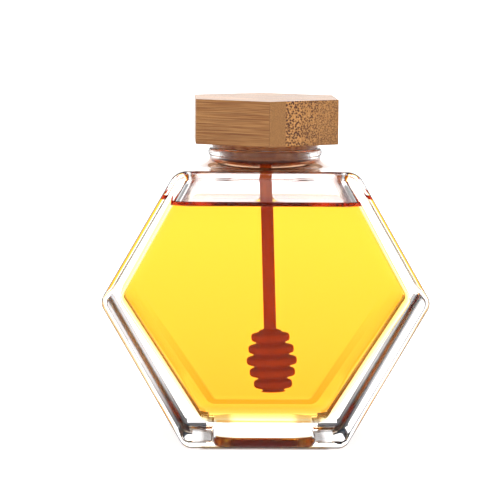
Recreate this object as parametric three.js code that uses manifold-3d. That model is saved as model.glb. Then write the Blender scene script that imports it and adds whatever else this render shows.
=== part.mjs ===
// A thick-walled hexagonal honey jar, filled, with a honey dipper hanging in it from a bamboo lid.
// Millimetres, +Z up. The origin is the middle of the base, and the wide flat faces look along -Y and +Y.
import * as THREE from 'three';
import { mergeVertices } from 'three/addons/utils/BufferGeometryUtils.js';
import Module from 'manifold-3d';

const wasm = await Module();
wasm.setup();

// The clear space left between pieces that touch in the real jar
const gap = 0.3;

// Glass body: a hexagon seen from the front, with a corner at each side, a flat base and a flat top
const body = {
  halfWidth: 60.3,
  cornerHeight: 54,
  bottom: 0,
  bottomHalf: 29.2,
  top: 101.8,
  topHalf: 32.8,
  depth: 62,
  edge: 3,
  round: { side: 5, bottom: 4.7, top: 6.5 },
};

// The hollow inside it: walls of 5 mm front and back, 6 mm at the side corners, and a heavy base
const hollow = {
  halfWidth: 53.5,
  cornerHeight: 54.5,
  bottom: 9.4,
  bottomHalf: 23.3,
  top: 100.2,
  topHalf: 28.5,
  depth: 52,
  edge: 3.5,
  round: { side: 4, bottom: 6, top: 5 },
};

// Push-up under the base: a shallow recess with curved walls, inside the ring that the jar stands on
const recess = { halfLength: 19.5, halfDepth: 24.5, height: 3.6, wallRun: 2.2, corner: 9 };

// Round neck on the flat top, with a bead at the rim
const neck = {
  footRadius: 27,
  waistRadius: 20.7,
  waistHeight: 104.6,
  beadRadius: 21.3,
  rim: 108.4,
  rimRound: 1.4,
  bore: 17.2,
  mouthFlare: 0.8,
  footFlare: 2.4,
};
const neckSides = 40;

// Honey, up to the level shown
const honeyLevel = 88.6;

// Lid: a hexagonal bamboo block with a corner to the front, turned a little on the jar
const lid = {
  bottom: 110.6,
  top: 127,
  acrossFlats: 52.4,
  chamfer: 0.5,
  turn: THREE.MathUtils.degToRad(1.2),
};

// Wooden plug under the lid, and the silicone seal round it: a flange on the rim and ribs in the neck
const stopper = { radius: 15.4, bottom: 102, chamfer: 0.8 };
const seal = {
  sleeve: 16.2,
  rib: 16.9,
  flange: 19.8,
  bottom: 103,
  ribHeights: [104.2, 105.8, 107.4],
};
const plugSides = 32;

// Dipper: a thin stem from the plug, and a head of five grooved rings set at a slight angle to it
const stem = { radius: 2.3, topX: 0.14, lean: THREE.MathUtils.degToRad(1.9) };
const head = {
  top: 40.8,
  lean: THREE.MathUtils.degToRad(3.7),
  ringRadii: [7.1, 8.4, 9.3, 8.45, 7.1],
  pitch: 4.4,
  halfThickness: 1.5,
  grooveDepth: 2.5,
  nose: 0.6,
};
const dipperSides = 20;

// A closed solid from a geometry: shared corners are merged and flat slivers at the poles dropped
function toSolid(geometry) {
  const bare = geometry.clone();
  bare.deleteAttribute('normal');
  bare.deleteAttribute('uv');
  const merged = mergeVertices(bare, 1e-4);
  const corners = merged.index.array;
  const triangles = [];
  for (let i = 0; i < corners.length; i += 3) {
    const [a, b, c] = [corners[i], corners[i + 1], corners[i + 2]];
    if (a !== b && b !== c && c !== a) triangles.push(a, b, c);
  }
  return new wasm.Manifold(
    new wasm.Mesh({
      numProp: 3,
      vertProperties: new Float32Array(merged.attributes.position.array),
      triVerts: new Uint32Array(triangles),
    }),
  );
}

function toGeometry(solid) {
  const mesh = solid.getMesh();
  const geometry = new THREE.BufferGeometry();
  geometry.setAttribute('position', new THREE.BufferAttribute(new Float32Array(mesh.vertProperties), 3));
  geometry.setIndex(new THREE.BufferAttribute(new Uint32Array(mesh.triVerts), 1));
  geometry.computeVertexNormals();
  return geometry;
}

// Turns a shape drawn in X and Y, and pulled along Z, to stand upright and face -Y
function standUp(geometry) {
  return geometry.rotateX(Math.PI / 2);
}

function turned(profile, sides) {
  const points = profile.map(([radius, height]) => new THREE.Vector2(radius, height));
  return standUp(new THREE.LatheGeometry(points, sides));
}

// A polygon with its corners rounded by arcs, given counter-clockwise as { x, y, round }
function roundedShape(corners) {
  const shape = new THREE.Shape();
  corners.forEach((corner, i) => {
    const here = new THREE.Vector2(corner.x, corner.y);
    const before = corners[(i + corners.length - 1) % corners.length];
    const after = corners[(i + 1) % corners.length];
    const back = new THREE.Vector2(before.x, before.y).sub(here).normalize();
    const ahead = new THREE.Vector2(after.x, after.y).sub(here).normalize();
    const halfAngle = back.angleTo(ahead) / 2;
    const reach = corner.round / Math.tan(halfAngle);
    const inward = back.clone().add(ahead).normalize();
    const centre = here.clone().addScaledVector(inward, corner.round / Math.sin(halfAngle));
    const from = here.clone().addScaledVector(back, reach).sub(centre).angle();
    const to = here.clone().addScaledVector(ahead, reach).sub(centre).angle();
    shape.absarc(centre.x, centre.y, corner.round, from, to, false);
  });
  return shape;
}

function hexagonCorners(size) {
  return [
    { x: size.bottomHalf, y: size.bottom, round: size.round.bottom },
    { x: size.halfWidth, y: size.cornerHeight, round: size.round.side },
    { x: size.topHalf, y: size.top, round: size.round.top },
    { x: -size.topHalf, y: size.top, round: size.round.top },
    { x: -size.halfWidth, y: size.cornerHeight, round: size.round.side },
    { x: -size.bottomHalf, y: size.bottom, round: size.round.bottom },
  ];
}

// Moves every side of a counter-clockwise outline inwards by inset, and tightens its corner arcs by as much
function insetCorners(corners, inset) {
  return corners.map((corner, i) => {
    const before = corners[(i + corners.length - 1) % corners.length];
    const after = corners[(i + 1) % corners.length];
    const inOne = new THREE.Vector2(before.y - corner.y, corner.x - before.x).normalize();
    const inTwo = new THREE.Vector2(corner.y - after.y, after.x - corner.x).normalize();
    const step = inset / (1 + inOne.dot(inTwo));
    return {
      x: corner.x + step * (inOne.x + inTwo.x),
      y: corner.y + step * (inOne.y + inTwo.y),
      round: corner.round - inset,
    };
  });
}

// The hexagon pulled from front to back with its front and back edges rounded, smaller all round by margin
function hexagonBlock(size, margin = 0) {
  const rounding = size.edge - margin;
  const geometry = new THREE.ExtrudeGeometry(roundedShape(insetCorners(hexagonCorners(size), size.edge)), {
    depth: size.depth - 2 * size.edge,
    bevelEnabled: true,
    bevelThickness: rounding,
    bevelSize: rounding,
    bevelSegments: 4,
    curveSegments: 2,
  });
  geometry.translate(0, 0, size.edge - size.depth / 2);
  return toSolid(standUp(geometry));
}

// The recess as a block, widest at the base's underside and reaching below it
function recessBlock() {
  const { halfLength, halfDepth, height, wallRun, corner } = recess;
  const [x, y, round] = [halfLength - wallRun, halfDepth - wallRun, corner - wallRun];
  const roof = roundedShape([
    { x, y: -y, round },
    { x, y, round },
    { x: -x, y, round },
    { x: -x, y: -y, round },
  ]);
  const below = 1;
  const geometry = new THREE.ExtrudeGeometry(roof, {
    depth: below,
    bevelEnabled: true,
    bevelThickness: height,
    bevelSize: wallRun,
    bevelSegments: 3,
    curveSegments: 2,
  });
  return toSolid(geometry.translate(0, 0, -below));
}

// Points of a quarter ellipse about a centre, from one angle to another
function quarter(centreRadius, centreHeight, across, up, from, to, steps) {
  const points = [];
  for (let i = 0; i <= steps; i += 1) {
    const angle = THREE.MathUtils.degToRad(from + ((to - from) * i) / steps);
    points.push([centreRadius + across * Math.cos(angle), centreHeight + up * Math.sin(angle)]);
  }
  return points;
}

function glassJar() {
  const { bore, rim, rimRound, mouthFlare, footFlare } = neck;
  const neckOutside = turned(
    [
      [0, hollow.top + 1],
      [neck.footRadius, hollow.top + 1],
      ...quarter(neck.footRadius, neck.waistHeight, neck.footRadius - neck.waistRadius,
        neck.waistHeight - body.top, 270, 180, 5),
      [neck.beadRadius, neck.waistHeight + 0.7],
      ...quarter(neck.beadRadius - rimRound, rim - rimRound, rimRound, rimRound, 0, 90, 3),
      [0, rim],
    ],
    neckSides,
  );
  const neckBore = turned(
    [
      [0, hollow.top - 3],
      [bore + footFlare, hollow.top - 3],
      ...quarter(bore + footFlare, hollow.top + footFlare, footFlare, footFlare, 270, 180, 4),
      [bore, rim - mouthFlare],
      [bore + mouthFlare, rim + gap],
      [0, rim + gap],
    ],
    neckSides,
  );
  const outside = hexagonBlock(body).add(toSolid(neckOutside));
  const open = outside.subtract(hexagonBlock(hollow)).subtract(toSolid(neckBore));
  return toGeometry(open.subtract(recessBlock()));
}

// Half outline of the dipper, made thicker all round by grow, as [radius, height] from nose to stem
function dipperProfile(grow) {
  const rings = head.ringRadii.length;
  const firstHeight = head.top - head.pitch / 2;
  const noseHeight = firstHeight - (rings - 1) * head.pitch - head.pitch / 2 - head.nose;
  const points = [
    [0, noseHeight - grow],
    [2.6 + grow, noseHeight - grow],
  ];
  for (let ring = rings - 1; ring >= 0; ring -= 1) {
    const radius = head.ringRadii[ring] + grow;
    const height = firstHeight - ring * head.pitch;
    const face = head.halfThickness + grow;
    points.push([radius - 0.8, height - face], [radius - 0.2, height - 0.6 * face]);
    points.push([radius, height], [radius - 0.2, height + 0.6 * face], [radius - 0.8, height + face]);
    if (ring > 0) {
      const smaller = Math.min(head.ringRadii[ring], head.ringRadii[ring - 1]);
      points.push([smaller - head.grooveDepth + 2.6 * grow, height + head.pitch / 2]);
    }
  }
  const stemTop = stopper.bottom;
  points.push([stem.radius + grow, head.top + grow], [stem.radius + grow, stemTop], [0, stemTop]);
  return points;
}

// The dipper's outline turned about its axis, and the axis then leant, more below the top of the head
function dipperGeometry(grow) {
  const geometry = turned(dipperProfile(grow), dipperSides);
  const position = geometry.attributes.position;
  const top = stopper.bottom - gap;
  for (let i = 0; i < position.count; i += 1) {
    const along = position.getZ(i);
    const aside = position.getX(i);
    const inHead = Math.max(0, head.top - along);
    const lean = inHead > 0 ? head.lean : stem.lean;
    const axisX = stem.topX + (top - along) * Math.tan(stem.lean)
      + inHead * (Math.tan(head.lean) - Math.tan(stem.lean));
    position.setXYZ(i, axisX + aside * Math.cos(lean), position.getY(i), along + aside * Math.sin(lean));
  }
  return geometry;
}

function dipper() {
  const above = new THREE.BoxGeometry(40, 40, 20).translate(0, 0, stopper.bottom - gap + 10);
  return toGeometry(toSolid(dipperGeometry(0)).subtract(toSolid(above)));
}

// Honey fills the hollow up to its level, and leaves room for the dipper
function honey() {
  const above = new THREE.BoxGeometry(140, 80, 60).translate(0, 0, honeyLevel + 30);
  const filling = hexagonBlock(hollow, gap).subtract(toSolid(above));
  return toGeometry(filling.subtract(toSolid(dipperGeometry(gap))));
}

function lidBlock() {
  const corner = (lid.acrossFlats / 2 - lid.chamfer) / Math.cos(Math.PI / 6);
  const shape = new THREE.Shape();
  for (let i = 0; i < 6; i += 1) {
    const angle = lid.turn - Math.PI / 2 + (i * Math.PI) / 3;
    const [x, y] = [corner * Math.cos(angle), corner * Math.sin(angle)];
    if (i === 0) shape.moveTo(x, y);
    else shape.lineTo(x, y);
  }
  shape.closePath();
  return new THREE.ExtrudeGeometry(shape, {
    depth: lid.top - lid.bottom - 2 * lid.chamfer,
    bevelEnabled: true,
    bevelThickness: lid.chamfer,
    bevelSize: lid.chamfer,
    bevelSegments: 1,
  }).translate(0, 0, lid.bottom + lid.chamfer);
}

function stopperPlug() {
  const top = lid.bottom - gap;
  const profile = [
    [0, stopper.bottom],
    [stopper.radius - stopper.chamfer, stopper.bottom],
    [stopper.radius, stopper.bottom + stopper.chamfer],
    [stopper.radius, top],
    [0, top],
  ];
  return turned(profile, plugSides);
}

function sealRing() {
  const inside = stopper.radius + gap;
  const top = lid.bottom - gap;
  const underFlange = neck.rim + gap;
  const profile = [[inside, seal.bottom], [seal.sleeve, seal.bottom]];
  for (const height of seal.ribHeights) {
    profile.push([seal.sleeve, height - 0.6], [seal.rib, height], [seal.sleeve, height + 0.6]);
  }
  profile.push(
    [seal.sleeve, underFlange],
    [seal.flange - 0.3, underFlange],
    [seal.flange, underFlange + 0.4],
    [seal.flange, top - 0.4],
    [seal.flange - 0.3, top],
    [inside, top],
    [inside, seal.bottom],
  );
  return turned(profile, plugSides);
}

const materials = {
  glass: new THREE.MeshStandardMaterial({
    color: 0xf4faf8, roughness: 0.02, metalness: 0, transparent: true, opacity: 0.3,
  }),
  honey: new THREE.MeshStandardMaterial({ color: 0xffd531, roughness: 0.08, metalness: 0 }),
  bamboo: new THREE.MeshStandardMaterial({ color: 0xb98352, roughness: 0.6, metalness: 0 }),
  plugWood: new THREE.MeshStandardMaterial({ color: 0x8a5a3a, roughness: 0.65, metalness: 0 }),
  silicone: new THREE.MeshStandardMaterial({
    color: 0xe9e6e2, roughness: 0.35, metalness: 0, transparent: true, opacity: 0.6,
  }),
  dipperWood: new THREE.MeshStandardMaterial({ color: 0x9a5a30, roughness: 0.55, metalness: 0 }),
};

function piece(name, geometry, material) {
  const mesh = new THREE.Mesh(geometry, material);
  mesh.name = name;
  return mesh;
}

const group = new THREE.Group();
group.add(
  piece('glass_jar', glassJar(), materials.glass),
  piece('honey', honey(), materials.honey),
  piece('dipper', dipper(), materials.dipperWood),
  piece('stopper', stopperPlug(), materials.plugWood),
  piece('seal_ring', sealRing(), materials.silicone),
  piece('lid', lidBlock(), materials.bamboo),
);

export default group;
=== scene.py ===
import math

import bmesh
import bpy
from mathutils import Matrix, Vector


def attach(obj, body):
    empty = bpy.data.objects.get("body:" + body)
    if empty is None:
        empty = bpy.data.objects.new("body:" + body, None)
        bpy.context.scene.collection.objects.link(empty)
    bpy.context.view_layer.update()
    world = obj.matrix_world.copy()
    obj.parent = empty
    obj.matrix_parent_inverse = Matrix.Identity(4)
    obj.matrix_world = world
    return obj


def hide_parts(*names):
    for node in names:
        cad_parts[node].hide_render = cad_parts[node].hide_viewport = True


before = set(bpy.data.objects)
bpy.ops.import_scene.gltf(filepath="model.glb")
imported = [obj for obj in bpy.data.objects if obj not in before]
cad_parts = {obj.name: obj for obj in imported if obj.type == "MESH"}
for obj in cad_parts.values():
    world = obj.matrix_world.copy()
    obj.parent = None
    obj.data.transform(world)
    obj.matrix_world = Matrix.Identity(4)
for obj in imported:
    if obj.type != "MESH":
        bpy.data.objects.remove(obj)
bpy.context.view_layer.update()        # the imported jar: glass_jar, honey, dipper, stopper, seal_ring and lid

# Lengths in the dictionaries are millimetres, +Z up, as in the jar's own drawing
mm = 0.001
weldDistance = 1e-7      # in metres: points closer than this are one point


def linear(code):
    channels = [int(code[i:i + 2], 16) / 255 for i in (1, 3, 5)]
    return [c / 12.92 if c <= 0.04045 else ((c + 0.055) / 1.055) ** 2.4 for c in channels] + [1.0]


def addNode(tree, kind, inputs=None, **settings):
    node = tree.nodes.new(kind)
    for name, value in settings.items():
        setattr(node, name, value)
    for key, value in (inputs or {}).items():
        if isinstance(value, bpy.types.NodeSocket):
            tree.links.new(value, node.inputs[key])
        else:
            node.inputs[key].default_value = value
    return node


# Works out rows of a name, an operation and two terms: parts' names, numbers or what a node gives out
def workOut(tree, parts, rows, **settings):
    for name, operation, one, two in rows:
        terms = {0: parts.get(one, one), 1: parts.get(two, two)}
        parts[name] = addNode(tree, "ShaderNodeMath", terms, operation=operation, **settings).outputs[0]


# Takes a value from one range to another
def mapRange(tree, value, start, end, low, high, **settings):
    run = addNode(tree, "ShaderNodeMapRange", {
        "Value": value, "From Min": start, "From Max": end, "To Min": low, "To Max": high}, **settings)
    return run.outputs[0]


# A ramp through tones, each at its own position
def toneRamp(tree, share, stops):
    ramp = addNode(tree, "ShaderNodeValToRGB", {"Fac": share})
    elements = ramp.color_ramp.elements
    for position, _ in stops[1:-1]:
        elements.new(position)
    for element, (position, tone) in zip(elements, stops):
        element.position = position
        element.color = linear(tone)
    return ramp.outputs["Color"]


# Two tones mixed. A tone is a colour code or what a node gives out
def mixTones(tree, share, *tones):
    under, over = [linear(tone) if isinstance(tone, str) else tone for tone in tones]
    mixed = addNode(tree, "ShaderNodeMix", {"Factor": share, "A": under, "B": over}, data_type="RGBA")
    return mixed.outputs["Result"]


def newMaterial(name, **shaderInputs):
    material = bpy.data.materials.new(name)
    material.use_nodes = True
    tree = material.node_tree
    shader = tree.nodes["Principled BSDF"]
    for key, value in shaderInputs.items():
        shader.inputs[key].default_value = value
    return material, tree, shader


def makePiece(name, points, faces, material):
    mesh = bpy.data.meshes.new(name)
    mesh.from_pydata([(x * mm, y * mm, z * mm) for x, y, z in points], [], faces)
    tidy = bmesh.new()
    tidy.from_mesh(mesh)
    bmesh.ops.remove_doubles(tidy, verts=tidy.verts, dist=weldDistance)
    bmesh.ops.recalc_face_normals(tidy, faces=tidy.faces)
    tidy.to_mesh(mesh)
    tidy.free()
    mesh.shade_smooth()
    piece = bpy.data.objects.new(name, mesh)
    bpy.context.collection.objects.link(piece)
    piece.data.materials.append(material)
    return piece


# Turns every live modifier into plain mesh
def settle(piece):
    evaluated = piece.evaluated_get(bpy.context.evaluated_depsgraph_get())
    mesh = bpy.data.meshes.new_from_object(evaluated)
    piece.modifiers.clear()
    piece.data = mesh
    return piece


def join(piece, tool, operation):
    modifier = piece.modifiers.new(operation.lower(), "BOOLEAN")
    modifier.operation = operation
    modifier.solver = "EXACT"
    modifier.object = tool
    bpy.context.view_layer.update()
    settle(piece)
    bpy.data.objects.remove(tool)
    return piece


# Flat faces stay flat to the eye, and only the roundings between them bend the light
def shadeFlats(piece):
    modifier = piece.modifiers.new("weightedNormals", "WEIGHTED_NORMAL")
    modifier.mode = "FACE_AREA"
    modifier.weight = 100
    return piece


def giveToJar(piece, node):
    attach(piece, "root")
    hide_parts(node)
    return piece


# Closed loops of points, each as long as the one before, joined into one skin
def loft(loops, closed=True):
    count = len(loops[0])
    points = [point for loop in loops for point in loop]
    faces = []
    for row in range(len(loops) - 1):
        for i in range(count):
            j = (i + 1) % count
            a, b = row * count, (row + 1) * count
            faces.append((a + i, a + j, b + j, b + i))
    if closed:
        faces.append(tuple(range(count))[::-1])
        faces.append(tuple(range(len(points) - count, len(points))))
    return points, faces


# A half outline of [radius, height] turned about the upright axis
def turned(profile, sides):
    loops = []
    for radius, height in profile:
        turn = [2 * math.pi * i / sides for i in range(sides)]
        loops.append([(radius * math.cos(a), radius * math.sin(a), height) for a in turn])
    return loft(loops)


def arc(centreX, centreZ, across, up, start, end, steps):
    turn = [math.radians(start + (end - start) * i / steps) for i in range(steps + 1)]
    return [(centreX + across * math.cos(a), centreZ + up * math.sin(a)) for a in turn]


# The jar of pressed glass. A hexagon is given by its half widths at the base, the side corners and the top.
# Its front and back edges are rounded by "edge" at the sides, "heel" at the base and "crown" at the top
glassJar = {
    "body": {
        "halfWidth": 60.3, "cornerHeight": 54, "bottom": 0, "bottomHalf": 29.2, "top": 101.8,
        "topHalf": 32.8, "depth": 62, "edge": 2.4, "heel": 4.2, "crown": 3, "roundSide": 5,
        "roundBottom": 4.7, "roundTop": 6.5, "leastRound": 0.8, "cornerSteps": 10, "edgeSteps": 10,
    },
    "hollow": {
        "halfWidth": 53.5, "cornerHeight": 54.5, "bottom": 9.4, "bottomHalf": 23.3, "top": 100.2,
        "topHalf": 28.5, "depth": 52, "edge": 6, "heel": 2.6, "crown": 2.5, "roundSide": 4, "roundBottom": 6,
        "roundTop": 5, "leastRound": 0.8, "cornerSteps": 10, "edgeSteps": 8,
    },
    "neck": {
        "footRadius": 27, "sunk": 0.8, "lead": 0.05, "waistRadius": 20.7, "waistHeight": 104.6,
        "beadRadius": 21.3, "beadRise": 2, "beadHeight": 1.3, "rim": 108.4, "rimRound": 1.4, "bore": 17.2,
        "mouthFlare": 0.8, "footFlare": 2.4, "cutBelow": 3, "cutAbove": 1, "sides": 96,
    },
    # The push-up under the base, inside the ring that the jar stands on
    "recess": {
        "halfLength": 19.5, "halfDepth": 24.5, "height": 3.6, "wallRun": 2.2, "corner": 9,
        "cutOut": 0.2, "cutBelow": 0.5, "firstAngle": 5, "wallSteps": 8, "cornerSteps": 10,
    },
    # What tells one kind of face from another: distances from a surface, and lengths along a normal
    "marks": {
        "margin": 0.1, "recessMargin": 0.3, "skin": 0.05, "tilt": 0.05, "flat": 0.995, "level": 0.99,
        "edgeShadeFrom": 0.02, "edgeShadeTo": 0.2, "sidesBelow": 52,
    },
    # How far the glass bends light, and its tints. The foot of the neck takes on the plug's brown and the dry
    # wall over the honey a faint pink, both painted reflections; the rim, edge and band tones are painted
    # shade, the amber ones a painted reflection of the honey
    "look": {
        "bends": 1.52, "wetShare": 0.85, "glare": "#898989", "dryGlare": "#f9f1f1", "recessGlare": "#76351d",
        "rimFrom": 0.055, "rimTo": 0.1, "rimPaintedShade": "#1c1a1c", "seamTone": "#07070a", "blush": "#f6eeed",
        "footTone": "#956545", "bandLight": "#cbd7e2", "bandDeep": "#00273f", "roofAmber": "#7c3516",
        "endAmber": "#813c16", "waveLength": 22, "waveHeight": 0.4, "waveShare": 0.25,
    },
    # Each goes from one share to another between two places along an axis
    "runs": {
        "bandShadeStrength": ("z", 4, 22, 0.85, 0.55), "towardRight": ("x", -30, 30, 0.0, 1.0),
        "nearBase": ("z", 6, 24, 1.0, 0.0), "recessEnd": ("across", 10.5, 13.5, 0.0, 0.8),
        "overBody": ("z", 101.8, 103.3, 1.0, 0.35), "fromCorner": ("z", 55, 62, 0.0, 1.0),
        "toCrown": ("z", 90, 96, 0.9, 0.0), "footStarts": ("z", 101.3, 102.2, 0.0, 1.0),
        "footEnds": ("z", 104.2, 105.2, 1.0, 0.0),
    },
    # Each holds on one side of a place only
    "limits": {
        "aboveBase": ("z", "GREATER_THAN", 1.8), "farOut": ("across", "GREATER_THAN", 28.5),
        "atBase": ("z", "LESS_THAN", 2.4), "besideRecess": ("across", "GREATER_THAN", 21.2),
        "farBack": ("y", "GREATER_THAN", 21.5),
    },
}


def makeRecess(material):
    size = glassJar["recess"]
    first, steps = size["firstAngle"], size["wallSteps"]
    angles = [math.radians(first + (90 - first) * i / steps) for i in range(steps + 1)]
    rise = [(-size["cutOut"], -size["cutBelow"])]
    rise += [(size["wallRun"] * (1 - math.cos(a)), size["height"] * math.sin(a)) for a in angles]
    loops = []
    for inset, height in rise:
        reach = size["corner"] - inset
        loop = []
        for i, (signX, signY) in enumerate(((1, 1), (-1, 1), (-1, -1), (1, -1))):
            centreX = signX * (size["halfLength"] - size["corner"])
            centreY = signY * (size["halfDepth"] - size["corner"])
            corner = arc(centreX, centreY, reach, reach, 90 * i, 90 * i + 90, size["cornerSteps"])
            loop += [(x, y, height) for x, y in corner]
        loops.append(loop)
    return makePiece("recess", *loft(loops), material)


def hexagonCorners(size):
    half = [
        (size["bottomHalf"], size["bottom"], size["roundBottom"]),
        (size["halfWidth"], size["cornerHeight"], size["roundSide"]),
        (size["topHalf"], size["top"], size["roundTop"]),
    ]
    return half + [(-x, z, r) for x, z, r in reversed(half)]


# One loop of the hexagon, its sides moved inwards and its corners drawn as arcs.
# The base and the top have insets of their own
def hexagonLoop(size, side, heel, crown):
    corners = hexagonCorners(size)
    steps = size["cornerSteps"]
    count = len(corners)
    insets = [heel, side, side, crown, side, side]      # of the side before each corner
    loop = []
    for i, (x, z, radius) in enumerate(corners):
        here = Vector((x, z))
        before = Vector(corners[i - 1][:2])
        after = Vector(corners[(i + 1) % count][:2])
        inOne = Vector((before.y - here.y, here.x - before.x)).normalized()
        inTwo = Vector((here.y - after.y, after.x - here.x)).normalized()
        insetOne, insetTwo = insets[i], insets[(i + 1) % count]
        turn = inOne.dot(inTwo)
        shareOne = (insetOne - insetTwo * turn) / (1 - turn * turn)
        shareTwo = (insetTwo - insetOne * turn) / (1 - turn * turn)
        corner = here + inOne * shareOne + inTwo * shareTwo
        reach = max(radius - (insetOne + insetTwo) / 2, size["leastRound"])
        centre = corner + reach * (inOne + inTwo) / (1 + turn)
        start = math.atan2(-inOne.y, -inOne.x)
        sweep = math.acos(max(-1, min(1, turn)))
        for step in range(steps + 1):
            angle = start + sweep * step / steps
            loop.append((centre.x + reach * math.cos(angle), centre.y + reach * math.sin(angle)))
    return loop


# How far a rounding of this radius draws in at a depth behind the front face
def drawnIn(radius, depth):
    return radius - math.sqrt(radius ** 2 - (radius - depth) ** 2) if depth < radius else 0


# The hexagon pulled from front to back, with its front and back edges rounded, and grown by a margin
def hexagonBlock(size, grow):
    steps = size["edgeSteps"]
    radii = [size[name] + grow for name in ("edge", "heel", "crown")]
    half = size["depth"] / 2 + grow
    depths = {0.0}
    for radius in set(radii):
        depths |= {round(radius * (1 - math.cos(math.pi / 2 * i / steps)), 4) for i in range(steps + 1)}
    rows = []
    for depth in sorted(depths):
        insets = [drawnIn(radius, depth) - grow for radius in radii]
        rows.append([(x, depth - half, z) for x, z in hexagonLoop(size, *insets)])
    back = [[(x, -y, z) for x, y, z in row] for row in rows[::-1]]
    return loft(rows + back)


# Soda-lime glass, pressed and fire-polished: quite clear, with faint slow waves that bend what lies behind.
# Where honey wets the wall inside, the light goes on almost straight. The back roundings of the lower sides
# and the ends of the recess let less light through and are tinted, as painted shade of the dark room round the
# jar and, at the recess, a painted amber reflection of the honey
def glassMaterial():
    look = glassJar["look"]
    material, tree, shader = newMaterial("sodaLimeGlass", **{
        "Roughness": 0.0, "Specular Tint": linear(look["glare"])})
    place = addNode(tree, "ShaderNodeTexCoord")
    spot = addNode(tree, "ShaderNodeSeparateXYZ", {0: place.outputs["Object"]})
    parts = {name: spot.outputs[name.upper()] for name in ("x", "y", "z")}
    workOut(tree, parts, [("across", "ABSOLUTE", "x", 0.0)])
    for name in ("innerWall", "broadFace", "pushUp", "rounding", "edgeLine"):
        parts[name] = addNode(tree, "ShaderNodeAttribute", attribute_name=name).outputs["Fac"]
    for name, (axis, start, end, low, high) in glassJar["runs"].items():
        parts[name] = mapRange(tree, parts[axis], start * mm, end * mm, low, high)
    wetTop = honeyFill["level"] + honeyFill["climb"] * look["wetShare"]
    limits = {**glassJar["limits"], "underHoney": ("z", "LESS_THAN", wetTop)}
    workOut(tree, parts, [
        (name, operation, axis, limit * mm) for name, (axis, operation, limit) in limits.items()])
    # Painted shade: the back roundings of the lower sides and the flat foot at the back let less light through
    # and take a grey-blue tone, deeper to the right and near the base
    workOut(tree, parts, [
        ("wet", "MULTIPLY", "underHoney", "innerWall"), ("dry", "SUBTRACT", "innerWall", "wet"),
        ("upTheSide", "MULTIPLY", "aboveBase", "farOut"), ("foot", "MULTIPLY", "atBase", "besideRecess"),
        ("backFoot", "MULTIPLY", "foot", "farBack"), ("band", "MAXIMUM", "upTheSide", "backFoot"),
        ("turnedIn", "MULTIPLY", "rounding", "band"), ("bandShadeShare", "MULTIPLY", "turnedIn", "bandShadeStrength"),
        ("darker", "MAXIMUM", "towardRight", "nearBase"), ("recessAmberShare", "MULTIPLY", "pushUp", "recessEnd"),
        ("paintedCover", "MAXIMUM", "bandShadeShare", "recessAmberShare"), ("clear", "SUBTRACT", 1.0, "paintedCover"),
        ("unshaded", "MAXIMUM", "innerWall", "broadFace"), ("outer", "SUBTRACT", "overBody", "unshaded"),
        # Painted shade: a fine dark line along the upper sides where the front turns into its rounded edge
        ("upperSide", "MULTIPLY", "fromCorner", "toCrown"), ("edgeShade", "MULTIPLY", "edgeLine", "upperSide"),
        ("overFoot", "MULTIPLY", "footStarts", "footEnds")], use_clamp=True)
    tree.links.new(parts["clear"], shader.inputs["Transmission Weight"])
    bending = mapRange(tree, parts["wet"], 0.0, 1.0, look["bends"], look["bends"] / honeyFill["bends"])
    tree.links.new(bending, shader.inputs["IOR"])

    # Painted shade: outer faces, all but the broad front and back, are tinted dark where they turn away from
    # the eye, for the dark rims that bent light shows round thick glass
    slant = addNode(tree, "ShaderNodeFresnel", {"IOR": bending})
    workOut(tree, parts, [("away", "MULTIPLY", slant.outputs[0], "outer")])
    rimStops = [(look["rimFrom"], "#ffffff"), (look["rimTo"], look["rimPaintedShade"])]
    parts["rim"] = toneRamp(tree, parts["away"], rimStops)
    for name, share, under, over in (
            # Painted reflection: the recess takes an amber glare and amber tones, and its ends grow opaque
            # amber, for the honey that it mirrors
            ("plainGlare", "pushUp", "glare", "recessGlare"), ("lively", "dry", "plainGlare", "dryGlare"),
            ("bandShadeTone", "darker", "bandLight", "bandDeep"), ("amber", "recessEnd", "roofAmber", "endAmber"),
            # Painted reflection: the dry wall over the honey takes a faint pink
            ("lined", "edgeShade", "rim", "seamTone"), ("dryWallReflected", "dry", "lined", "blush"),
            # Painted reflection: the foot of the neck takes on the plug's brown
            ("footReflected", "overFoot", "dryWallReflected", "footTone"), ("greyed", "bandShadeShare", "footReflected", "bandShadeTone"),
            ("tinted", "pushUp", "greyed", "amber")):
        tones = [parts[tone] if tone in parts else look[tone] for tone in (under, over)]
        parts[name] = mixTones(tree, parts[share], *tones)
    tree.links.new(parts["lively"], shader.inputs["Specular Tint"])
    tree.links.new(parts["tinted"], shader.inputs["Base Color"])
    wave = addNode(tree, "ShaderNodeTexNoise", {
        "Vector": place.outputs["Object"], "Scale": 1 / (look["waveLength"] * mm), "Detail": 1.0,
        "Roughness": 0.4})
    bump = addNode(tree, "ShaderNodeBump", {
        "Height": wave.outputs["Fac"], "Strength": look["waveShare"], "Distance": look["waveHeight"] * mm})
    tree.links.new(bump.outputs["Normal"], shader.inputs["Normal"])
    return material
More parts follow.
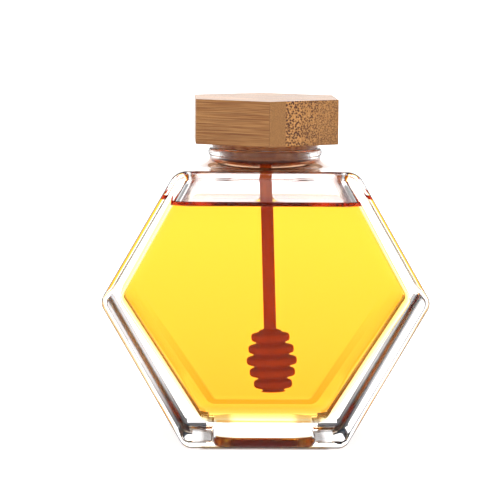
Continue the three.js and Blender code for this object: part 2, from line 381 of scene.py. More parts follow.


# Marks the faces that look into the hollow, those of the recess, the broad front and back, the fine line
# where the front turns into its rounded edge, and the back roundings of the lower sides with the flat foot;
# the last two get painted shade
def markFaces(jar):
    hollow, recess, marks = glassJar["hollow"], glassJar["recess"], glassJar["marks"]
    margin, skin, tilt, flat = marks["margin"], marks["skin"], marks["tilt"], marks["flat"]
    half = glassJar["body"]["depth"] / 2
    slopes = []
    corners = hexagonCorners(hollow)
    for (x, z, _), (nextX, nextZ, _) in zip(corners[:2], corners[1:3]):
        out = Vector((nextZ - z, x - nextX)).normalized()
        slopes.append((out, out.dot(Vector((x, z))) + margin))
    found = {name: [] for name in ("innerWall", "pushUp", "broadFace", "edgeLine", "rounding")}
    for face in jar.data.polygons:
        x, y, z = face.center / mm
        turn = face.normal
        inner = hollow["bottom"] - margin < z < hollow["top"] + margin
        inner = inner and abs(y) < hollow["depth"] / 2 + margin
        inner = inner and all(out.dot(Vector((abs(x), z))) < reach for out, reach in slopes)
        overRecess = abs(x) < recess["halfLength"] + marks["recessMargin"]
        overRecess = overRecess and abs(y) < recess["halfDepth"] + marks["recessMargin"]
        atBack = tilt < turn.y < flat and turn.z < -tilt and z < marks["sidesBelow"] and not inner
        flatFoot = turn.z < -marks["level"] and abs(z) < skin
        found["innerWall"].append(inner)
        found["pushUp"].append(overRecess and skin < z < recess["height"] + skin)
        found["broadFace"].append(abs(turn.y) > flat)
        found["edgeLine"].append(marks["edgeShadeFrom"] < half + y < marks["edgeShadeTo"])
        found["rounding"].append(atBack or flatFoot)
    for name, values in found.items():
        mark = jar.data.attributes.new(name, "FLOAT", "FACE")
        mark.data.foreach_set("value", [float(value) for value in values])


def makeGlassJar():
    body, hollow, neck = glassJar["body"], glassJar["hollow"], glassJar["neck"]
    material = glassMaterial()
    jar = makePiece("jarGlass", *hexagonBlock(body, 0), material)
    foot, waist, waistHeight = neck["footRadius"], neck["waistRadius"], neck["waistHeight"]
    lip, lead, rim, start = neck["rimRound"], neck["lead"], neck["rim"], body["top"] - neck["sunk"]
    bead = neck["beadRadius"] - lip
    outside = (
        [(0, start), (foot, start)]
        + arc(foot, waistHeight, foot - waist, waistHeight - body["top"] + lead, 270, 180, 14)
        + arc(bead, waistHeight + neck["beadRise"], lip, neck["beadHeight"], -60, 0, 5)
        + arc(bead, rim - lip, lip, lip, 0, 90, 8)
        + [(0, rim)]
    )
    join(jar, makePiece("neck", *turned(outside, neck["sides"]), material), "UNION")
    join(jar, makePiece("hollow", *hexagonBlock(hollow, 0), material), "DIFFERENCE")
    bore, flare, mouth = neck["bore"], neck["footFlare"], neck["mouthFlare"]
    cutStart, cutEnd = hollow["top"] - neck["cutBelow"], rim + neck["cutAbove"]
    inside = (
        [(0, cutStart), (bore + flare, cutStart)]
        + arc(bore + flare, hollow["top"] + flare - lead, flare, flare, 270, 180, 10)
        + arc(bore + mouth, rim - mouth, mouth, mouth, 180, 100, 6)
        + [(bore + mouth, cutEnd), (0, cutEnd)]
    )
    join(jar, makePiece("bore", *turned(inside, neck["sides"]), material), "DIFFERENCE")
    join(jar, makeRecess(material), "DIFFERENCE")
    jar.data.shade_smooth()
    markFaces(jar)
    shadeFlats(jar)
    return giveToJar(jar, "glass_jar")


# Honey reaches a little into the glass, so that no line of air shows between them. Inside the glass it hardly
# bends light of its own, as "barely" says, and only its open surface has honey's full strength
honeyFill = {
    "level": 88.6, "intoGlass": 0.22, "climb": 2.1, "climbLength": 1.1, "stemClimb": 2.2,
    "reach": 4.5, "stemReach": 7.0, "rings": 8, "easing": 1.6, "intoStem": 0.3,
    "edgeBelow": 13, "edgeFrom": 0.02, "edgeTo": 0.8, "wallTurn": 0.3,
    "bends": 1.48, "barely": 1.0001, "swallows": "#fee700", "density": 70.0,
    "tints": [(0.035, "#fffdf9"), (0.08, "#ffe7d4"), (1.0, "#ffffff")],
    "honeyEdgeShade": "#fcad50", "climbShadeTone": "#790a02", "climbShadeGlare": "#953819",
    "lineHeights": (11, 26), "lineDepths": (4, 18), "lineWidths": (2, 10),
    "climbFrom": 0.3, "climbTo": 0.7, "lineFront": 18,
    "runs": {"heightInHoney": ("z", 8, 80, 0.0, 1.0), "lowPart": ("z", 50, 60, 1.0, 0.0)},
}


# Clear acacia-like honey: golden yellow through the depth of the jar, from the light that it swallows. Painted
# shade makes it deeper in tone low down and along the back edge of its sides, and dark where it climbs the
# glass round its surface
def honeyMaterial():
    fill = honeyFill
    material, tree, shader = newMaterial("liquidHoney", **{"Roughness": 0.0, "Transmission Weight": 1.0})
    place = addNode(tree, "ShaderNodeTexCoord")
    spot = addNode(tree, "ShaderNodeSeparateXYZ", {0: place.outputs["Object"]})
    parts = {"y": spot.outputs["Y"], "z": spot.outputs["Z"]}
    for name in ("deepEdge", "sideWall", "nearStem", "openSurface"):
        parts[name] = addNode(tree, "ShaderNodeAttribute", attribute_name=name).outputs["Fac"]
    climbs = (fill["level"] + fill["climbFrom"], fill["level"] + fill["climbTo"])
    for name, (axis, start, end, low, high) in {**fill["runs"], "climbing": ("z", *climbs, 0.0, 1.0)}.items():
        parts[name] = mapRange(tree, parts[axis], start * mm, end * mm, low, high)
    heights, depths, widths = [
        [length * mm for length in fill[name]] for name in ("lineHeights", "lineDepths", "lineWidths")]
    parts["lineDepth"] = mapRange(
        tree, parts["z"], *heights, *depths, interpolation_type="SMOOTHERSTEP")
    workOut(tree, parts, [
        ("beyond", "SUBTRACT", "y", "lineDepth"), ("offLine", "ABSOLUTE", "beyond", 0.0),
        ("inFront", "LESS_THAN", "y", fill["lineFront"] * mm)])
    parts["onLine"] = mapRange(tree, parts["offLine"], *widths, 1.0, 0.0)
    # Painted shade: a deeper tone along the back edge of the sides, and in a slanting line down the lower side
    # walls
    workOut(tree, parts, [
        ("sideLow", "MULTIPLY", "sideWall", "lowPart"), ("sideLine", "MULTIPLY", "sideLow", "onLine"),
        ("deepLine", "MAXIMUM", "sideLine", "deepEdge"), ("byGlass", "SUBTRACT", 1.0, "nearStem"),
        ("frontClimb", "MULTIPLY", "climbing", "inFront"), ("line", "MULTIPLY", "frontClimb", "byGlass")])

    # Painted shade: a little deeper in tone low down, fading to none at the top
    tint = toneRamp(tree, parts["heightInHoney"], fill["tints"])
    edged = mixTones(tree, parts["deepLine"], tint, fill["honeyEdgeShade"])
    # Painted shade: a dark red line, and darker glare, where the honey climbs the glass at the front, away
    # from the stem
    lined = mixTones(tree, parts["line"], edged, fill["climbShadeTone"])
    tree.links.new(lined, shader.inputs["Base Color"])
    glare = mixTones(tree, parts["line"], "#ffffff", fill["climbShadeGlare"])
    tree.links.new(glare, shader.inputs["Specular Tint"])
    bending = mapRange(tree, parts["openSurface"], 0.0, 1.0, fill["barely"], fill["bends"])
    tree.links.new(bending, shader.inputs["IOR"])
    depth = addNode(tree, "ShaderNodeVolumeAbsorption", {
        "Color": linear(fill["swallows"]), "Density": fill["density"]})
    tree.links.new(depth.outputs["Volume"], tree.nodes["Material Output"].inputs["Volume"])
    return material


# How far along X the dipper's stem stands at a height
def stemAt(height):
    lean = math.radians(dipperWood["leans"]["stemLean"])
    return dipperWood["lengths"]["topX"] + (dipperWood["lengths"]["top"] - height) * math.tan(lean)


def makeHoney():
    fill = honeyFill
    material = honeyMaterial()
    honey = makePiece("honeyFill", *hexagonBlock(glassJar["hollow"], fill["intoGlass"]), material)
    skin = bmesh.new()
    skin.from_mesh(honey.data)
    cutHeight = fill["level"] + fill["climb"]
    everything = skin.verts[:] + skin.edges[:] + skin.faces[:]
    bmesh.ops.bisect_plane(
        skin, geom=everything, plane_co=(0, 0, cutHeight * mm), plane_no=(0, 0, 1), clear_outer=True)
    rim = [edge for edge in skin.edges if edge.is_boundary]
    first = rim[0].verts[0]
    loop = [first]
    edge = rim[0]
    while True:
        following = edge.other_vert(loop[-1])
        if following is first:
            break
        loop.append(following)
        edge = next(e for e in following.link_edges if e.is_boundary and e is not edge)
    outer = [Vector((v.co.x / mm, v.co.y / mm)) for v in loop]
    if sum(a.x * b.y - b.x * a.y for a, b in zip(outer, outer[1:] + outer[:1])) < 0:
        loop.reverse()
        outer.reverse()
    count = len(outer)
    inward = []
    for i, point in enumerate(outer):
        before = (point - outer[i - 1]).normalized()
        after = (outer[(i + 1) % count] - point).normalized()
        one, two = Vector((-before.y, before.x)), Vector((-after.y, after.x))
        inward.append((one + two) / (1 + one.dot(two)))
    stemX = stemAt(fill["level"])
    rows = []
    rings, easing, fade = fill["rings"], fill["easing"], fill["climbLength"]
    for step in range(1, rings + 1):
        away = fill["reach"] * (step / rings) ** easing
        height = fill["level"] + fill["climb"] * math.exp(-max(0, away - fill["intoGlass"]) / fade)
        rows.append([(p.x + n.x * away, p.y + n.y * away, height) for p, n in zip(outer, inward)])
    stem = dipperWood["lengths"]["stemRadius"]
    angles = [math.atan2(p.y, p.x - stemX) for p in outer]
    for step in range(rings + 1):
        away = fill["stemReach"] * (1 - step / rings) ** easing
        height = fill["level"] + fill["stemClimb"] * math.exp(-away / fade)
        radius = stem + away - (fill["intoStem"] if step == rings else 0)
        rows.append([(stemX + radius * math.cos(a), radius * math.sin(a), height) for a in angles])
    free = skin.faces.layers.float.new("openSurface")
    byStem = skin.faces.layers.float.new("nearStem")
    last = loop
    for number, row in enumerate(rows):
        made = [skin.verts.new((x * mm, y * mm, z * mm)) for x, y, z in row]
        for i in range(count):
            j = (i + 1) % count
            face = skin.faces.new((last[i], last[j], made[j], made[i]))
            face[free] = 1.0
            face[byStem] = 1.0 if number >= rings else 0.0
        last = made
    skin.faces.new(last)[free] = 1.0
    bmesh.ops.recalc_face_normals(skin, faces=skin.faces)
    skin.to_mesh(honey.data)
    skin.free()
    # Points near the back edge of the lower sides, which get painted shade
    edge = honey.data.attributes.new("deepEdge", "FLOAT", "POINT")
    half = glassJar["hollow"]["depth"] / 2 + fill["intoGlass"]
    for point in honey.data.vertices:
        x, y, z = point.co / mm
        deep = z < fill["edgeBelow"] and fill["edgeFrom"] < half - y < fill["edgeTo"]
        edge.data[point.index].value = 1.0 if deep else 0.0
    walls = honey.data.attributes.new("sideWall", "FLOAT", "FACE")
    for face in honey.data.polygons:
        walls.data[face.index].value = 1.0 if abs(face.normal.x) > fill["wallTurn"] else 0.0
    honey.data.shade_smooth()
    shadeFlats(honey)
    return giveToJar(honey, "honey")


# The dipper hangs from the plug: a stem, and a head of grooved rings set at a slight angle to it
dipperWood = {
    "lengths": {
        "top": 101.7, "topX": 0.14, "stemRadius": 2.3, "headTop": 40.8, "bottom": 18.2, "pitch": 4.4,
        "middleRadius": 9.3, "endRadius": 7.1, "grooveDepth": 2.5,
    },
    "leans": {"stemLean": 1.9, "headLean": 3.7},
    "counts": {"sides": 48, "rows": 460},
    "rings": 5.0, "swell": 1.3, "shoulder": 2.5,
    "groove": [(0.35, 0.03), (0.55, 0.14), (0.68, 0.4), (0.8, 0.75)],
    "grainWidth": 0.5, "grainStretch": 0.06, "pores": 0.1, "poreShare": 0.4, "soakedOver": 2.5,
    "darkUntil": 0.3, "lightFrom": 0.7, "wet": ("#a23c02", "#cc5206"), "dry": ("#b45212", "#ec7a2a"),
}


# Turned beech, soaked with honey below the surface: warm brown, with fine pores along the stem
def dipperMaterial():
    wood = dipperWood
    material, tree, shader = newMaterial("turnedBeech", **{
        "Roughness": 0.7, "IOR": 1.5, "Specular IOR Level": 0.15})
    place = addNode(tree, "ShaderNodeTexCoord")
    along = addNode(tree, "ShaderNodeMapping", {
        "Vector": place.outputs["Object"], "Scale": (1, 1, wood["grainStretch"])})
    grain = addNode(tree, "ShaderNodeTexNoise", {
        "Vector": along.outputs["Vector"], "Scale": 1 / (wood["grainWidth"] * mm), "Detail": 4.0,
        "Roughness": 0.6})
    tones = []
    for dark, light in (wood["wet"], wood["dry"]):
        stops = [(wood["darkUntil"], dark), (wood["lightFrom"], light)]
        tones.append(toneRamp(tree, grain.outputs["Fac"], stops))
    spot = addNode(tree, "ShaderNodeSeparateXYZ", {0: place.outputs["Object"]})
    level = honeyFill["level"]
    soaked = mapRange(
        tree, spot.outputs["Z"], level * mm, (level + wood["soakedOver"]) * mm, 0.0, 1.0)
    colour = mixTones(tree, soaked, *tones)
    tree.links.new(colour, shader.inputs["Base Color"])
    bump = addNode(tree, "ShaderNodeBump", {
        "Height": grain.outputs["Fac"], "Strength": wood["poreShare"], "Distance": wood["pores"] * mm})
    tree.links.new(bump.outputs["Normal"], shader.inputs["Normal"])
    return material


# A tree that draws an upright axis, gives it the radius of stem or rings at each height, and leans it
def dipperTree():
    tree = bpy.data.node_groups.new("turnedDipper", "GeometryNodeTree")
    sockets = tree.interface
    sockets.new_socket("Geometry", in_out="OUTPUT", socket_type="NodeSocketGeometry")
    sizes = (*dipperWood["lengths"], *dipperWood["leans"], "rings")
    for name in sizes:
        sockets.new_socket(name, in_out="INPUT", socket_type="NodeSocketFloat")
    for name in dipperWood["counts"]:
        sockets.new_socket(name, in_out="INPUT", socket_type="NodeSocketInt")
    sockets.new_socket("wood", in_out="INPUT", socket_type="NodeSocketMaterial")
    given = addNode(tree, "NodeGroupInput").outputs
    where = addNode(tree, "GeometryNodeInputPosition")
    spot = addNode(tree, "ShaderNodeSeparateXYZ", {0: where.outputs[0]})
    groove = addNode(tree, "ShaderNodeFloatCurve")
    curve = groove.mapping.curves[0]
    curve.points[0].location = (0, 0)
    curve.points[1].location = (1, 1)
    for point in dipperWood["groove"]:
        curve.points.new(*point)
    groove.mapping.update()
    parts = {name: given[name] for name in sizes}
    parts.update({"x": spot.outputs["X"], "z": spot.outputs["Z"], "groove": groove.outputs[0]})
    swell, shoulder = dipperWood["swell"], dipperWood["shoulder"]
    workOut(tree, parts, [
        # Which ring a height is in, and how far from the ring's middle it lies, from 0 to 1 in the groove
        ("belowTop", "SUBTRACT", "headTop", "z"), ("down", "DIVIDE", "belowTop", "pitch"),
        ("middle", "MULTIPLY", "rings", 0.5), ("ring", "FLOOR", "down", 0.0),
        ("ringMiddle", "ADD", "ring", 0.5), ("offRing", "SUBTRACT", "down", "ringMiddle"),
        ("offRingSize", "ABSOLUTE", "offRing", 0.0), ("fromRing", "MULTIPLY", "offRingSize", 2.0),
        # The head swells to its middle: the radius of each ring's crown, and of the core in the grooves
        ("fall", "SUBTRACT", "middleRadius", "endRadius"),
        ("ringOff", "SUBTRACT", "ringMiddle", "middle"), ("ringOffSize", "ABSOLUTE", "ringOff", 0.0),
        ("ringShare", "DIVIDE", "ringOffSize", 2.0), ("ringBent", "POWER", "ringShare", swell),
        ("ringFall", "MULTIPLY", "fall", "ringBent"), ("crown", "SUBTRACT", "middleRadius", "ringFall"),
        ("coreOff", "SUBTRACT", "down", "middle"), ("coreOffSize", "ABSOLUTE", "coreOff", 0.0),
        ("coreShare", "DIVIDE", "coreOffSize", 2.0), ("coreBent", "POWER", "coreShare", swell),
        ("coreFall", "MULTIPLY", "fall", "coreBent"), ("core", "SUBTRACT", "middleRadius", "coreFall"),
        ("root", "SUBTRACT", "core", "grooveDepth"), ("depth", "SUBTRACT", "crown", "root"),
        ("drop", "MULTIPLY", "groove", "depth"), ("ringRadius", "SUBTRACT", "crown", "drop"),
        # The stem, and the short cone that leads down from it to the head
        ("above", "SUBTRACT", "z", "headTop"), ("narrowing", "MULTIPLY", "above", shoulder),
        ("coneFoot", "SUBTRACT", "endRadius", "grooveDepth"),
        ("cone", "SUBTRACT", "coneFoot", "narrowing"),
        ("stem", "MAXIMUM", "cone", "stemRadius"), ("inStem", "GREATER_THAN", "above", 0.0),
        # The axis leans at one angle in the stem and at another in the head
        ("inHead", "MAXIMUM", "belowTop", 0.0), ("headShare", "MINIMUM", "inHead", 1.0),
        ("leanMore", "SUBTRACT", "headLean", "stemLean"),
        ("leanHere", "MULTIPLY", "headShare", "leanMore"),
        ("lean", "ADD", "stemLean", "leanHere"), ("stemSlope", "TANGENT", "stemLean", 0.0),
        ("headSlope", "TANGENT", "headLean", 0.0), ("underTip", "SUBTRACT", "top", "z"),
        ("stemShift", "MULTIPLY", "underTip", "stemSlope"),
        ("slopeMore", "SUBTRACT", "headSlope", "stemSlope"),
        ("headShift", "MULTIPLY", "inHead", "slopeMore"), ("tipShift", "ADD", "topX", "stemShift"),
        ("shift", "ADD", "tipShift", "headShift"), ("cosLean", "COSINE", "lean", 0.0),
        ("xTurned", "MULTIPLY", "x", "cosLean"), ("newX", "ADD", "shift", "xTurned"),
        ("sinLean", "SINE", "lean", 0.0), ("xLifted", "MULTIPLY", "x", "sinLean"),
        ("newZ", "ADD", "z", "xLifted")])
    tree.links.new(parts["fromRing"], groove.inputs["Value"])

    foot = addNode(tree, "ShaderNodeCombineXYZ", {"Z": given["bottom"]})
    tip = addNode(tree, "ShaderNodeCombineXYZ", {"Z": given["top"]})
    line = addNode(tree, "GeometryNodeCurvePrimitiveLine", {"Start": foot.outputs[0], "End": tip.outputs[0]})
    axis = addNode(tree, "GeometryNodeResampleCurve", {"Curve": line.outputs[0], "Count": given["rows"]})
    picked = addNode(tree, "GeometryNodeSwitch", {
        "Switch": parts["inStem"], "False": parts["ringRadius"], "True": parts["stem"]}, input_type="FLOAT")
    thick = addNode(tree, "GeometryNodeSetCurveRadius", {
        "Curve": axis.outputs[0], "Radius": picked.outputs[0]})
    circle = addNode(tree, "GeometryNodeCurvePrimitiveCircle", {"Resolution": given["sides"], "Radius": 1.0})
    skin = addNode(tree, "GeometryNodeCurveToMesh", {
        "Curve": thick.outputs[0], "Profile Curve": circle.outputs[0], "Fill Caps": True})
    if "Scale" in skin.inputs:
        radius = addNode(tree, "GeometryNodeInputRadius")
        tree.links.new(radius.outputs[0], skin.inputs["Scale"])
    moved = addNode(tree, "ShaderNodeCombineXYZ", {
        "X": parts["newX"], "Y": spot.outputs["Y"], "Z": parts["newZ"]})
    leant = addNode(tree, "GeometryNodeSetPosition", {
        "Geometry": skin.outputs[0], "Position": moved.outputs[0]})
    real = addNode(tree, "GeometryNodeRealizeInstances", {"Geometry": leant.outputs[0]})
    dressed = addNode(tree, "GeometryNodeSetMaterial", {
        "Geometry": real.outputs[0], "Material": given["wood"]})
    addNode(tree, "NodeGroupOutput", {"Geometry": dressed.outputs[0]})
    return tree


def runTree(name, tree, values):
    holder = bpy.data.objects.new(name, bpy.data.meshes.new(name))
    bpy.context.collection.objects.link(holder)
    modifier = holder.modifiers.new(tree.name, "NODES")
    modifier.node_group = tree
    for socket in tree.interface.items_tree:
        if socket.in_out == "INPUT" and socket.name in values:
            modifier[socket.identifier] = values[socket.name]
    bpy.context.view_layer.update()
    return settle(holder)


def makeDipper():
    values = {name: length * mm for name, length in dipperWood["lengths"].items()}
    values.update({name: math.radians(lean) for name, lean in dipperWood["leans"].items()})
    values.update(dipperWood["counts"])
    values["rings"] = dipperWood["rings"]
    values["wood"] = dipperMaterial()
    dipper = runTree("woodDipper", dipperTree(), values)
    dipper.data.shade_smooth()
    return giveToJar(dipper, "dipper")


# Lid: a hexagonal block glued up from upright bamboo strips, its corner turned a little from the front
bambooLid = {
    "bottom": 110.6, "top": 127, "acrossFlats": 52.2, "chamfer": 0.2, "turn": 1.2,
    "stripWidth": 6.06, "fibreTurn": -30, "cutTurn": 0.3,
    # Every strip's own look, from the front left to the back right: fineness, tone, depth of the dots
    "strips": [
        (1.00, 0.73, 0.30), (0.18, 1.14, 1.00), (0.42, 0.98, 0.90), (0.70, 0.92, 0.75), (0.75, 0.88, 0.75),
        (0.45, 0.84, 0.80), (0.20, 0.98, 0.95), (0.65, 0.88, 0.70), (0.90, 0.80, 0.40),
    ],
    # Fibre bundles and their gaps are drawn coarser than real ones, so that they show
    "bundleGap": 0.7, "coarsest": 0.85, "finest": 2.0, "bundleStretch": (0.012, 1, 0.8), "uneven": 0.85,
    "strayLength": 16.667, "stray": 0.3, "dotFrom": 0.34, "dotTo": 0.6, "fibreWidth": 0.2,
    "dark": "#a06228", "light": "#dba05c", "darkUntil": 0.38, "lightFrom": 0.62, "dotTone": "#3c1804",
    "sideShade": 0.93, "cutShade": 0.68, "glueTone": "#5a3318", "glueWidth": 0.03, "glueShare": 0.45,
    "relief": 0.08, "reliefShare": 0.35,
}


# Laminated bamboo, sawn and sanded: long streaks along the fibres, and dark dots where they are cut across
def bambooMaterial():
    lid = bambooLid
    material, tree, shader = newMaterial("laminatedBamboo", **{
        "Roughness": 0.32, "IOR": 1.5, "Specular IOR Level": 0.25})
    place = addNode(tree, "ShaderNodeTexCoord")
    onFibres = addNode(tree, "ShaderNodeMapping", {
        "Vector": place.outputs["Object"],
        "Rotation": (0, 0, math.radians(-lid["fibreTurn"] - lid["turn"]))})
    spot = addNode(tree, "ShaderNodeSeparateXYZ", {0: onFibres.outputs["Vector"]})
    count = len(lid["strips"])
    parts = {"y": spot.outputs["Y"]}
    workOut(tree, parts, [
        ("across", "ADD", "y", lid["acrossFlats"] / 2 * mm),
        ("counted", "DIVIDE", "across", lid["stripWidth"] * mm), ("strip", "FLOOR", "counted", 0.0),
        ("inStrip", "FRACT", "counted", 0.0), ("which", "ADD", "strip", 0.5),
        ("share", "DIVIDE", "which", float(count))])
    looks = addNode(tree, "ShaderNodeValToRGB", {"Fac": parts["share"]})
    looks.color_ramp.interpolation = "CONSTANT"
    for i, look in enumerate(lid["strips"]):
        stops = looks.color_ramp.elements
        stop = stops[i] if i < 2 else stops.new(i / count)
        stop.position = i / count
        stop.color = (*look, 1)
    look = addNode(tree, "ShaderNodeSeparateColor", {0: looks.outputs["Color"]}).outputs

    # Fibre bundles: cells across the fibres, drawn out along them, finer in some strips than in others
    gap = lid["bundleGap"] * mm
    finer = mapRange(tree, look["Red"], 0.0, 1.0, lid["coarsest"] / gap, lid["finest"] / gap)
    drawnOut = addNode(tree, "ShaderNodeMapping", {
        "Vector": onFibres.outputs["Vector"], "Scale": lid["bundleStretch"]})
    stray = addNode(tree, "ShaderNodeTexNoise", {
        "Vector": onFibres.outputs["Vector"], "Scale": 1 / (lid["strayLength"] * mm), "Detail": 1.0})
    strayed = addNode(tree, "ShaderNodeVectorMath", {
        0: stray.outputs["Color"], 1: (lid["stray"] * mm,) * 3, 2: drawnOut.outputs["Vector"]},
        operation="MULTIPLY_ADD")
    bundles = addNode(tree, "ShaderNodeTexVoronoi", {
        "Vector": strayed.outputs[0], "Scale": finer, "Randomness": lid["uneven"]}, feature="F1")
    parts["dots"] = mapRange(
        tree, bundles.outputs["Distance"], lid["dotFrom"], lid["dotTo"], 1.0, 0.0)
    fibre = addNode(tree, "ShaderNodeTexNoise", {
        "Vector": drawnOut.outputs["Vector"], "Scale": 1 / (lid["fibreWidth"] * mm), "Detail": 2.0,
        "Roughness": 0.6})

    fibreStops = [(lid["darkUntil"], lid["dark"]), (lid["lightFrom"], lid["light"])]
    base = toneRamp(tree, fibre.outputs["Fac"], fibreStops)
    cut = addNode(tree, "ShaderNodeAttribute", attribute_name="endGrain")
    parts["cutTone"] = mapRange(tree, cut.outputs["Fac"], 0.0, 1.0, lid["sideShade"], lid["cutShade"])
    workOut(tree, parts, [
        ("tone", "MULTIPLY", "cutTone", look["Green"]), ("dotShare", "MULTIPLY", "dots", look["Blue"]),
        ("glueLine", "LESS_THAN", "inStrip", lid["glueWidth"]),
        ("glueShare", "MULTIPLY", "glueLine", lid["glueShare"]),
        ("relief", "SUBTRACT", "dotShare", fibre.outputs["Fac"])])
    toned = addNode(tree, "ShaderNodeHueSaturation", {"Color": base, "Value": parts["tone"]})
    dotted = mixTones(tree, parts["dotShare"], toned.outputs["Color"], lid["dotTone"])
    glued = mixTones(tree, parts["glueShare"], dotted, lid["glueTone"])
    tree.links.new(glued, shader.inputs["Base Color"])
    bump = addNode(tree, "ShaderNodeBump", {
        "Height": parts["relief"], "Strength": lid["reliefShare"], "Distance": lid["relief"] * mm},
        invert=True)
    tree.links.new(bump.outputs["Normal"], shader.inputs["Normal"])
    return material


def makeLid():
    lid = bambooLid
    radius = lid["acrossFlats"] / 2 / math.cos(math.pi / 6)
    turn = [math.radians(lid["turn"] - 90 + 60 * i) for i in range(6)]
    ends = (lid["bottom"], lid["top"])
    loops = [[(radius * math.cos(a), radius * math.sin(a), z) for a in turn] for z in ends]
    block = makePiece("lidBlock", *loft(loops), bambooMaterial())
    along = math.radians(lid["turn"] + lid["fibreTurn"])
    fibres = Vector((math.cos(along), math.sin(along), 0))
    cuts = block.data.attributes.new("endGrain", "FLOAT", "FACE")
    for face in block.data.polygons:
        cuts.data[face.index].value = 1.0 if abs(face.normal.dot(fibres)) > lid["cutTurn"] else 0.0
    easing = block.modifiers.new("easedEdges", "BEVEL")
    easing.width = lid["chamfer"] * mm
    easing.segments = 3
    shadeFlats(block)
    return giveToJar(block, "lid")


# Plug under the lid, turned from plain wood
woodPlug = {
    "radius": 15.6, "bottom": 102.0, "top": 110.3, "chamfer": 0.8, "sides": 96,
    "grainWidth": 1.2, "grainStretch": 0.15, "dark": "#b85a28", "light": "#f09a5c",
    "darkUntil": 0.3, "lightFrom": 0.7,
}


# Turned pine in the shade of the neck: plain mid brown, matt, with faint grain
def plugMaterial():
    plug = woodPlug
    material, tree, shader = newMaterial("turnedPine", **{"Roughness": 0.6, "IOR": 1.5})
    place = addNode(tree, "ShaderNodeTexCoord")
    along = addNode(tree, "ShaderNodeMapping", {
        "Vector": place.outputs["Object"], "Scale": (plug["grainStretch"], 1, 1)})
    grain = addNode(tree, "ShaderNodeTexNoise", {
        "Vector": along.outputs["Vector"], "Scale": 1 / (plug["grainWidth"] * mm), "Detail": 3.0})
    tone = toneRamp(
        tree, grain.outputs["Fac"], [(plug["darkUntil"], plug["dark"]), (plug["lightFrom"], plug["light"])])
    tree.links.new(tone, shader.inputs["Base Color"])
    return material


def makePlug():
    plug = woodPlug
    bevel = plug["chamfer"]
    profile = [(0, plug["bottom"])]
    profile += arc(plug["radius"] - bevel, plug["bottom"] + bevel, bevel, bevel, 270, 360, 5)
    profile += [(plug["radius"], plug["top"]), (0, plug["top"])]
    piece = makePiece("woodPlug", *turned(profile, plug["sides"]), plugMaterial())
    shadeFlats(piece)
    return giveToJar(piece, "stopper")


# Seal round the plug: a flange on the rim and three ribs in the neck
siliconeSeal = {
    "inside": 15.4, "sleeve": 16.2, "rib": 16.9, "flange": 19.8, "bottom": 103.0, "underFlange": 108.5,
    "top": 110.3, "ribHeights": [104.2, 105.8, 107.4], "ribHalf": 0.6, "rounding": 0.4, "sides": 96,
    "tone": "#f6f3f0", "glare": "#959595", "cloudSize": 3, "cloudy": 0.08,
}


# Moulded silicone: cloudy and soft, so that light passes but nothing is clear through it
def siliconeMaterial():
    seal = siliconeSeal
    material, tree, shader = newMaterial("mouldedSilicone", **{
        "Base Color": linear(seal["tone"]), "Roughness": 0.05, "IOR": 1.41, "Transmission Weight": 1.0,
        "Specular Tint": linear(seal["glare"])})
    place = addNode(tree, "ShaderNodeTexCoord")
    cloud = addNode(tree, "ShaderNodeTexNoise", {
        "Vector": place.outputs["Object"], "Scale": 1 / (seal["cloudSize"] * mm), "Detail": 2.0})
    rough = mapRange(tree, cloud.outputs["Fac"], 0.0, 1.0, 0.0, seal["cloudy"])
    tree.links.new(rough, shader.inputs["Roughness"])
    return material


def makeSeal():
    seal = siliconeSeal
    half, edge = seal["ribHalf"], seal["rounding"]
    outline = [(seal["inside"], seal["bottom"]), (seal["sleeve"], seal["bottom"])]
    for height in seal["ribHeights"]:
        proud = seal["rib"] - seal["sleeve"]
        outline += arc(seal["sleeve"], height, proud, half, -90, 90, 8)
    outline += [(seal["sleeve"], seal["underFlange"])]
    outline += arc(seal["flange"] - edge, seal["underFlange"] + edge, edge, edge, -90, 0, 4)
    outline += arc(seal["flange"] - edge, seal["top"] - edge, edge, edge, 0, 90, 4)
    outline += [(seal["inside"], seal["top"])]
    sides = seal["sides"]
    turn = [2 * math.pi * i / sides for i in range(sides)]
    loops = [[(r * math.cos(a), r * math.sin(a), z) for a in turn] for r, z in outline + outline[:1]]
    piece = makePiece("siliconeSeal", *loft(loops, closed=False), siliconeMaterial())
    shadeFlats(piece)
    return giveToJar(piece, "seal_ring")


# White floor, wide enough to fill the view to its far edge, that glows like a light table.
# It is dark under the jar's base and brighter further off
studio = {
    "floorHalf": 14.0, "floorColour": "#e8e8e8", "underJar": 1.12, "besideJar": 1.24, "clearOfJar": 34,
    "farOff": 700, "glowUnder": 0.05, "glowNear": 0.75, "glowFar": 1.1,
    "sideUntil": 0.6, "backFrom": 0.8, "sideTop": 0.2, "backTop": 0.5, "bandFade": 0.1, "bandLight": 2.0,
    "roomLight": 0.4, "lampForward": 0.1, "lampHeight": 1.1, "lampSize": 0.5, "lampPower": 8.0,
    "bounces": 32, "glossyBounces": 16,
}


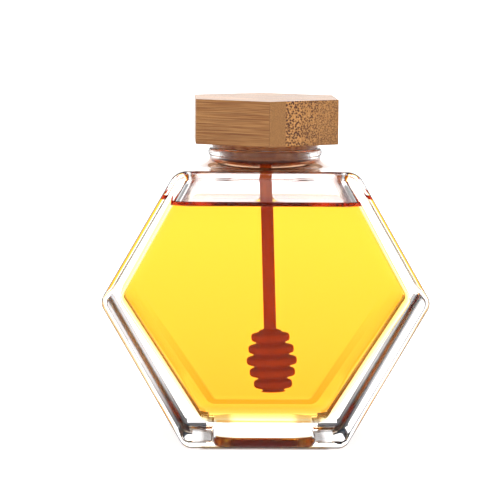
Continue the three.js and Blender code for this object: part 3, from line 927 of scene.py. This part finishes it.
# Opal acrylic with lamps under it: matt, and bright all over
def makeFloor():
    half = studio["floorHalf"] / mm
    corners = [(-half, -half, 0), (half, -half, 0), (half, half, 0), (-half, half, 0)]
    material, tree, shader = newMaterial("opalAcrylic", **{
        "Base Color": linear(studio["floorColour"]), "Roughness": 0.9, "Specular IOR Level": 0.0,
        "Emission Color": linear("#ffffff")})
    recess = glassJar["recess"]
    place = addNode(tree, "ShaderNodeTexCoord")
    away = addNode(tree, "ShaderNodeVectorMath", {0: place.outputs["Object"]}, operation="LENGTH")
    base = addNode(tree, "ShaderNodeVectorMath", {
        0: place.outputs["Object"], 1: (1 / (recess["halfLength"] * mm), 1 / (recess["halfDepth"] * mm), 0)},
        operation="MULTIPLY")
    size = addNode(tree, "ShaderNodeVectorMath", {0: base.outputs[0]}, operation="ABSOLUTE")
    spread = addNode(tree, "ShaderNodeSeparateXYZ", {0: size.outputs[0]})
    footprint = addNode(tree, "ShaderNodeMath", {
        0: spread.outputs["X"], 1: spread.outputs["Y"]}, operation="MAXIMUM")
    near = mapRange(
        tree, footprint.outputs[0], studio["underJar"], studio["besideJar"], studio["glowUnder"],
        studio["glowNear"])
    far = mapRange(
        tree, away.outputs["Value"], studio["clearOfJar"] * mm, studio["farOff"] * mm, 0.0,
        studio["glowFar"] - studio["glowNear"])
    glow = addNode(tree, "ShaderNodeMath", {0: near, 1: far}, operation="ADD")
    tree.links.new(glow.outputs[0], shader.inputs["Emission Strength"])
    floor = makePiece("floor", corners, [(0, 1, 2, 3)], material)
    return floor


# A bright low band all round, as a white sweep gives, and a dim room above that draws the edges of the glass
def makeLight():
    world = bpy.data.worlds.new("softStudio")
    bpy.context.scene.world = world
    world.use_nodes = True
    tree = world.node_tree
    place = addNode(tree, "ShaderNodeTexCoord")
    way = addNode(tree, "ShaderNodeSeparateXYZ", {0: place.outputs["Generated"]})
    behind = addNode(tree, "ShaderNodeMath", {0: way.outputs["Y"]}, operation="ABSOLUTE")
    bandTop = mapRange(
        tree, behind.outputs[0], studio["sideUntil"], studio["backFrom"], studio["sideTop"],
        studio["backTop"])
    fadeTop = addNode(tree, "ShaderNodeMath", {0: bandTop, 1: studio["bandFade"]}, operation="ADD")
    light = mapRange(
        tree, way.outputs["Z"], bandTop, fadeTop.outputs[0], studio["bandLight"], studio["roomLight"])
    tree.links.new(light, tree.nodes["Background"].inputs["Strength"])
    tree.nodes["Background"].inputs["Color"].default_value = linear("#ffffff")
    lamp = bpy.data.lights.new("overheadLamp", "AREA")
    lamp.energy = studio["lampPower"]
    lamp.size = studio["lampSize"]
    holder = bpy.data.objects.new("overheadLamp", lamp)
    holder.location = (0, -studio["lampForward"], studio["lampHeight"])
    bpy.context.collection.objects.link(holder)


# A long lens a little above the jar and a touch to its left
shot = {
    "focal": 165.6, "sensor": 36.0, "distance": 860, "down": 7.1, "azimuth": -1.2, "roll": 0.45,
    "aim": (-5.3, 0, 69.8), "farthest": 100,
}


def makeCamera():
    data = bpy.data.cameras.new("camera")
    data.lens = shot["focal"]
    data.sensor_width = shot["sensor"]
    data.clip_end = shot["farthest"]
    camera = bpy.data.objects.new("camera", data)
    bpy.context.collection.objects.link(camera)
    side, down = math.radians(shot["azimuth"]), math.radians(shot["down"])
    back = Vector((math.sin(side) * math.cos(down), -math.cos(side) * math.cos(down), math.sin(down)))
    aim = Vector(shot["aim"]) * mm
    turn = back.to_track_quat("Z", "Y").to_matrix().to_4x4()
    roll = Matrix.Rotation(math.radians(shot["roll"]), 4, "Z")
    camera.matrix_world = Matrix.Translation(aim + back * shot["distance"] * mm) @ turn @ roll
    bpy.context.scene.camera = camera


makeCamera()
makeLight()
makeFloor()
print("camera, light and floor made")
makeGlassJar()
print("glass jar made")
makeHoney()
print("honey poured")
makeDipper()
print("dipper turned")
makePlug()
makeSeal()
makeLid()
print("plug, seal and lid fitted")

scene = bpy.context.scene
scene.view_settings.view_transform = "Standard"
scene.cycles.max_bounces = studio["bounces"]      # light crosses many walls of glass and honey
scene.cycles.transmission_bounces = studio["bounces"]
scene.cycles.glossy_bounces = studio["glossyBounces"]
scene.cycles.caustics_reflective = True
scene.cycles.caustics_refractive = True
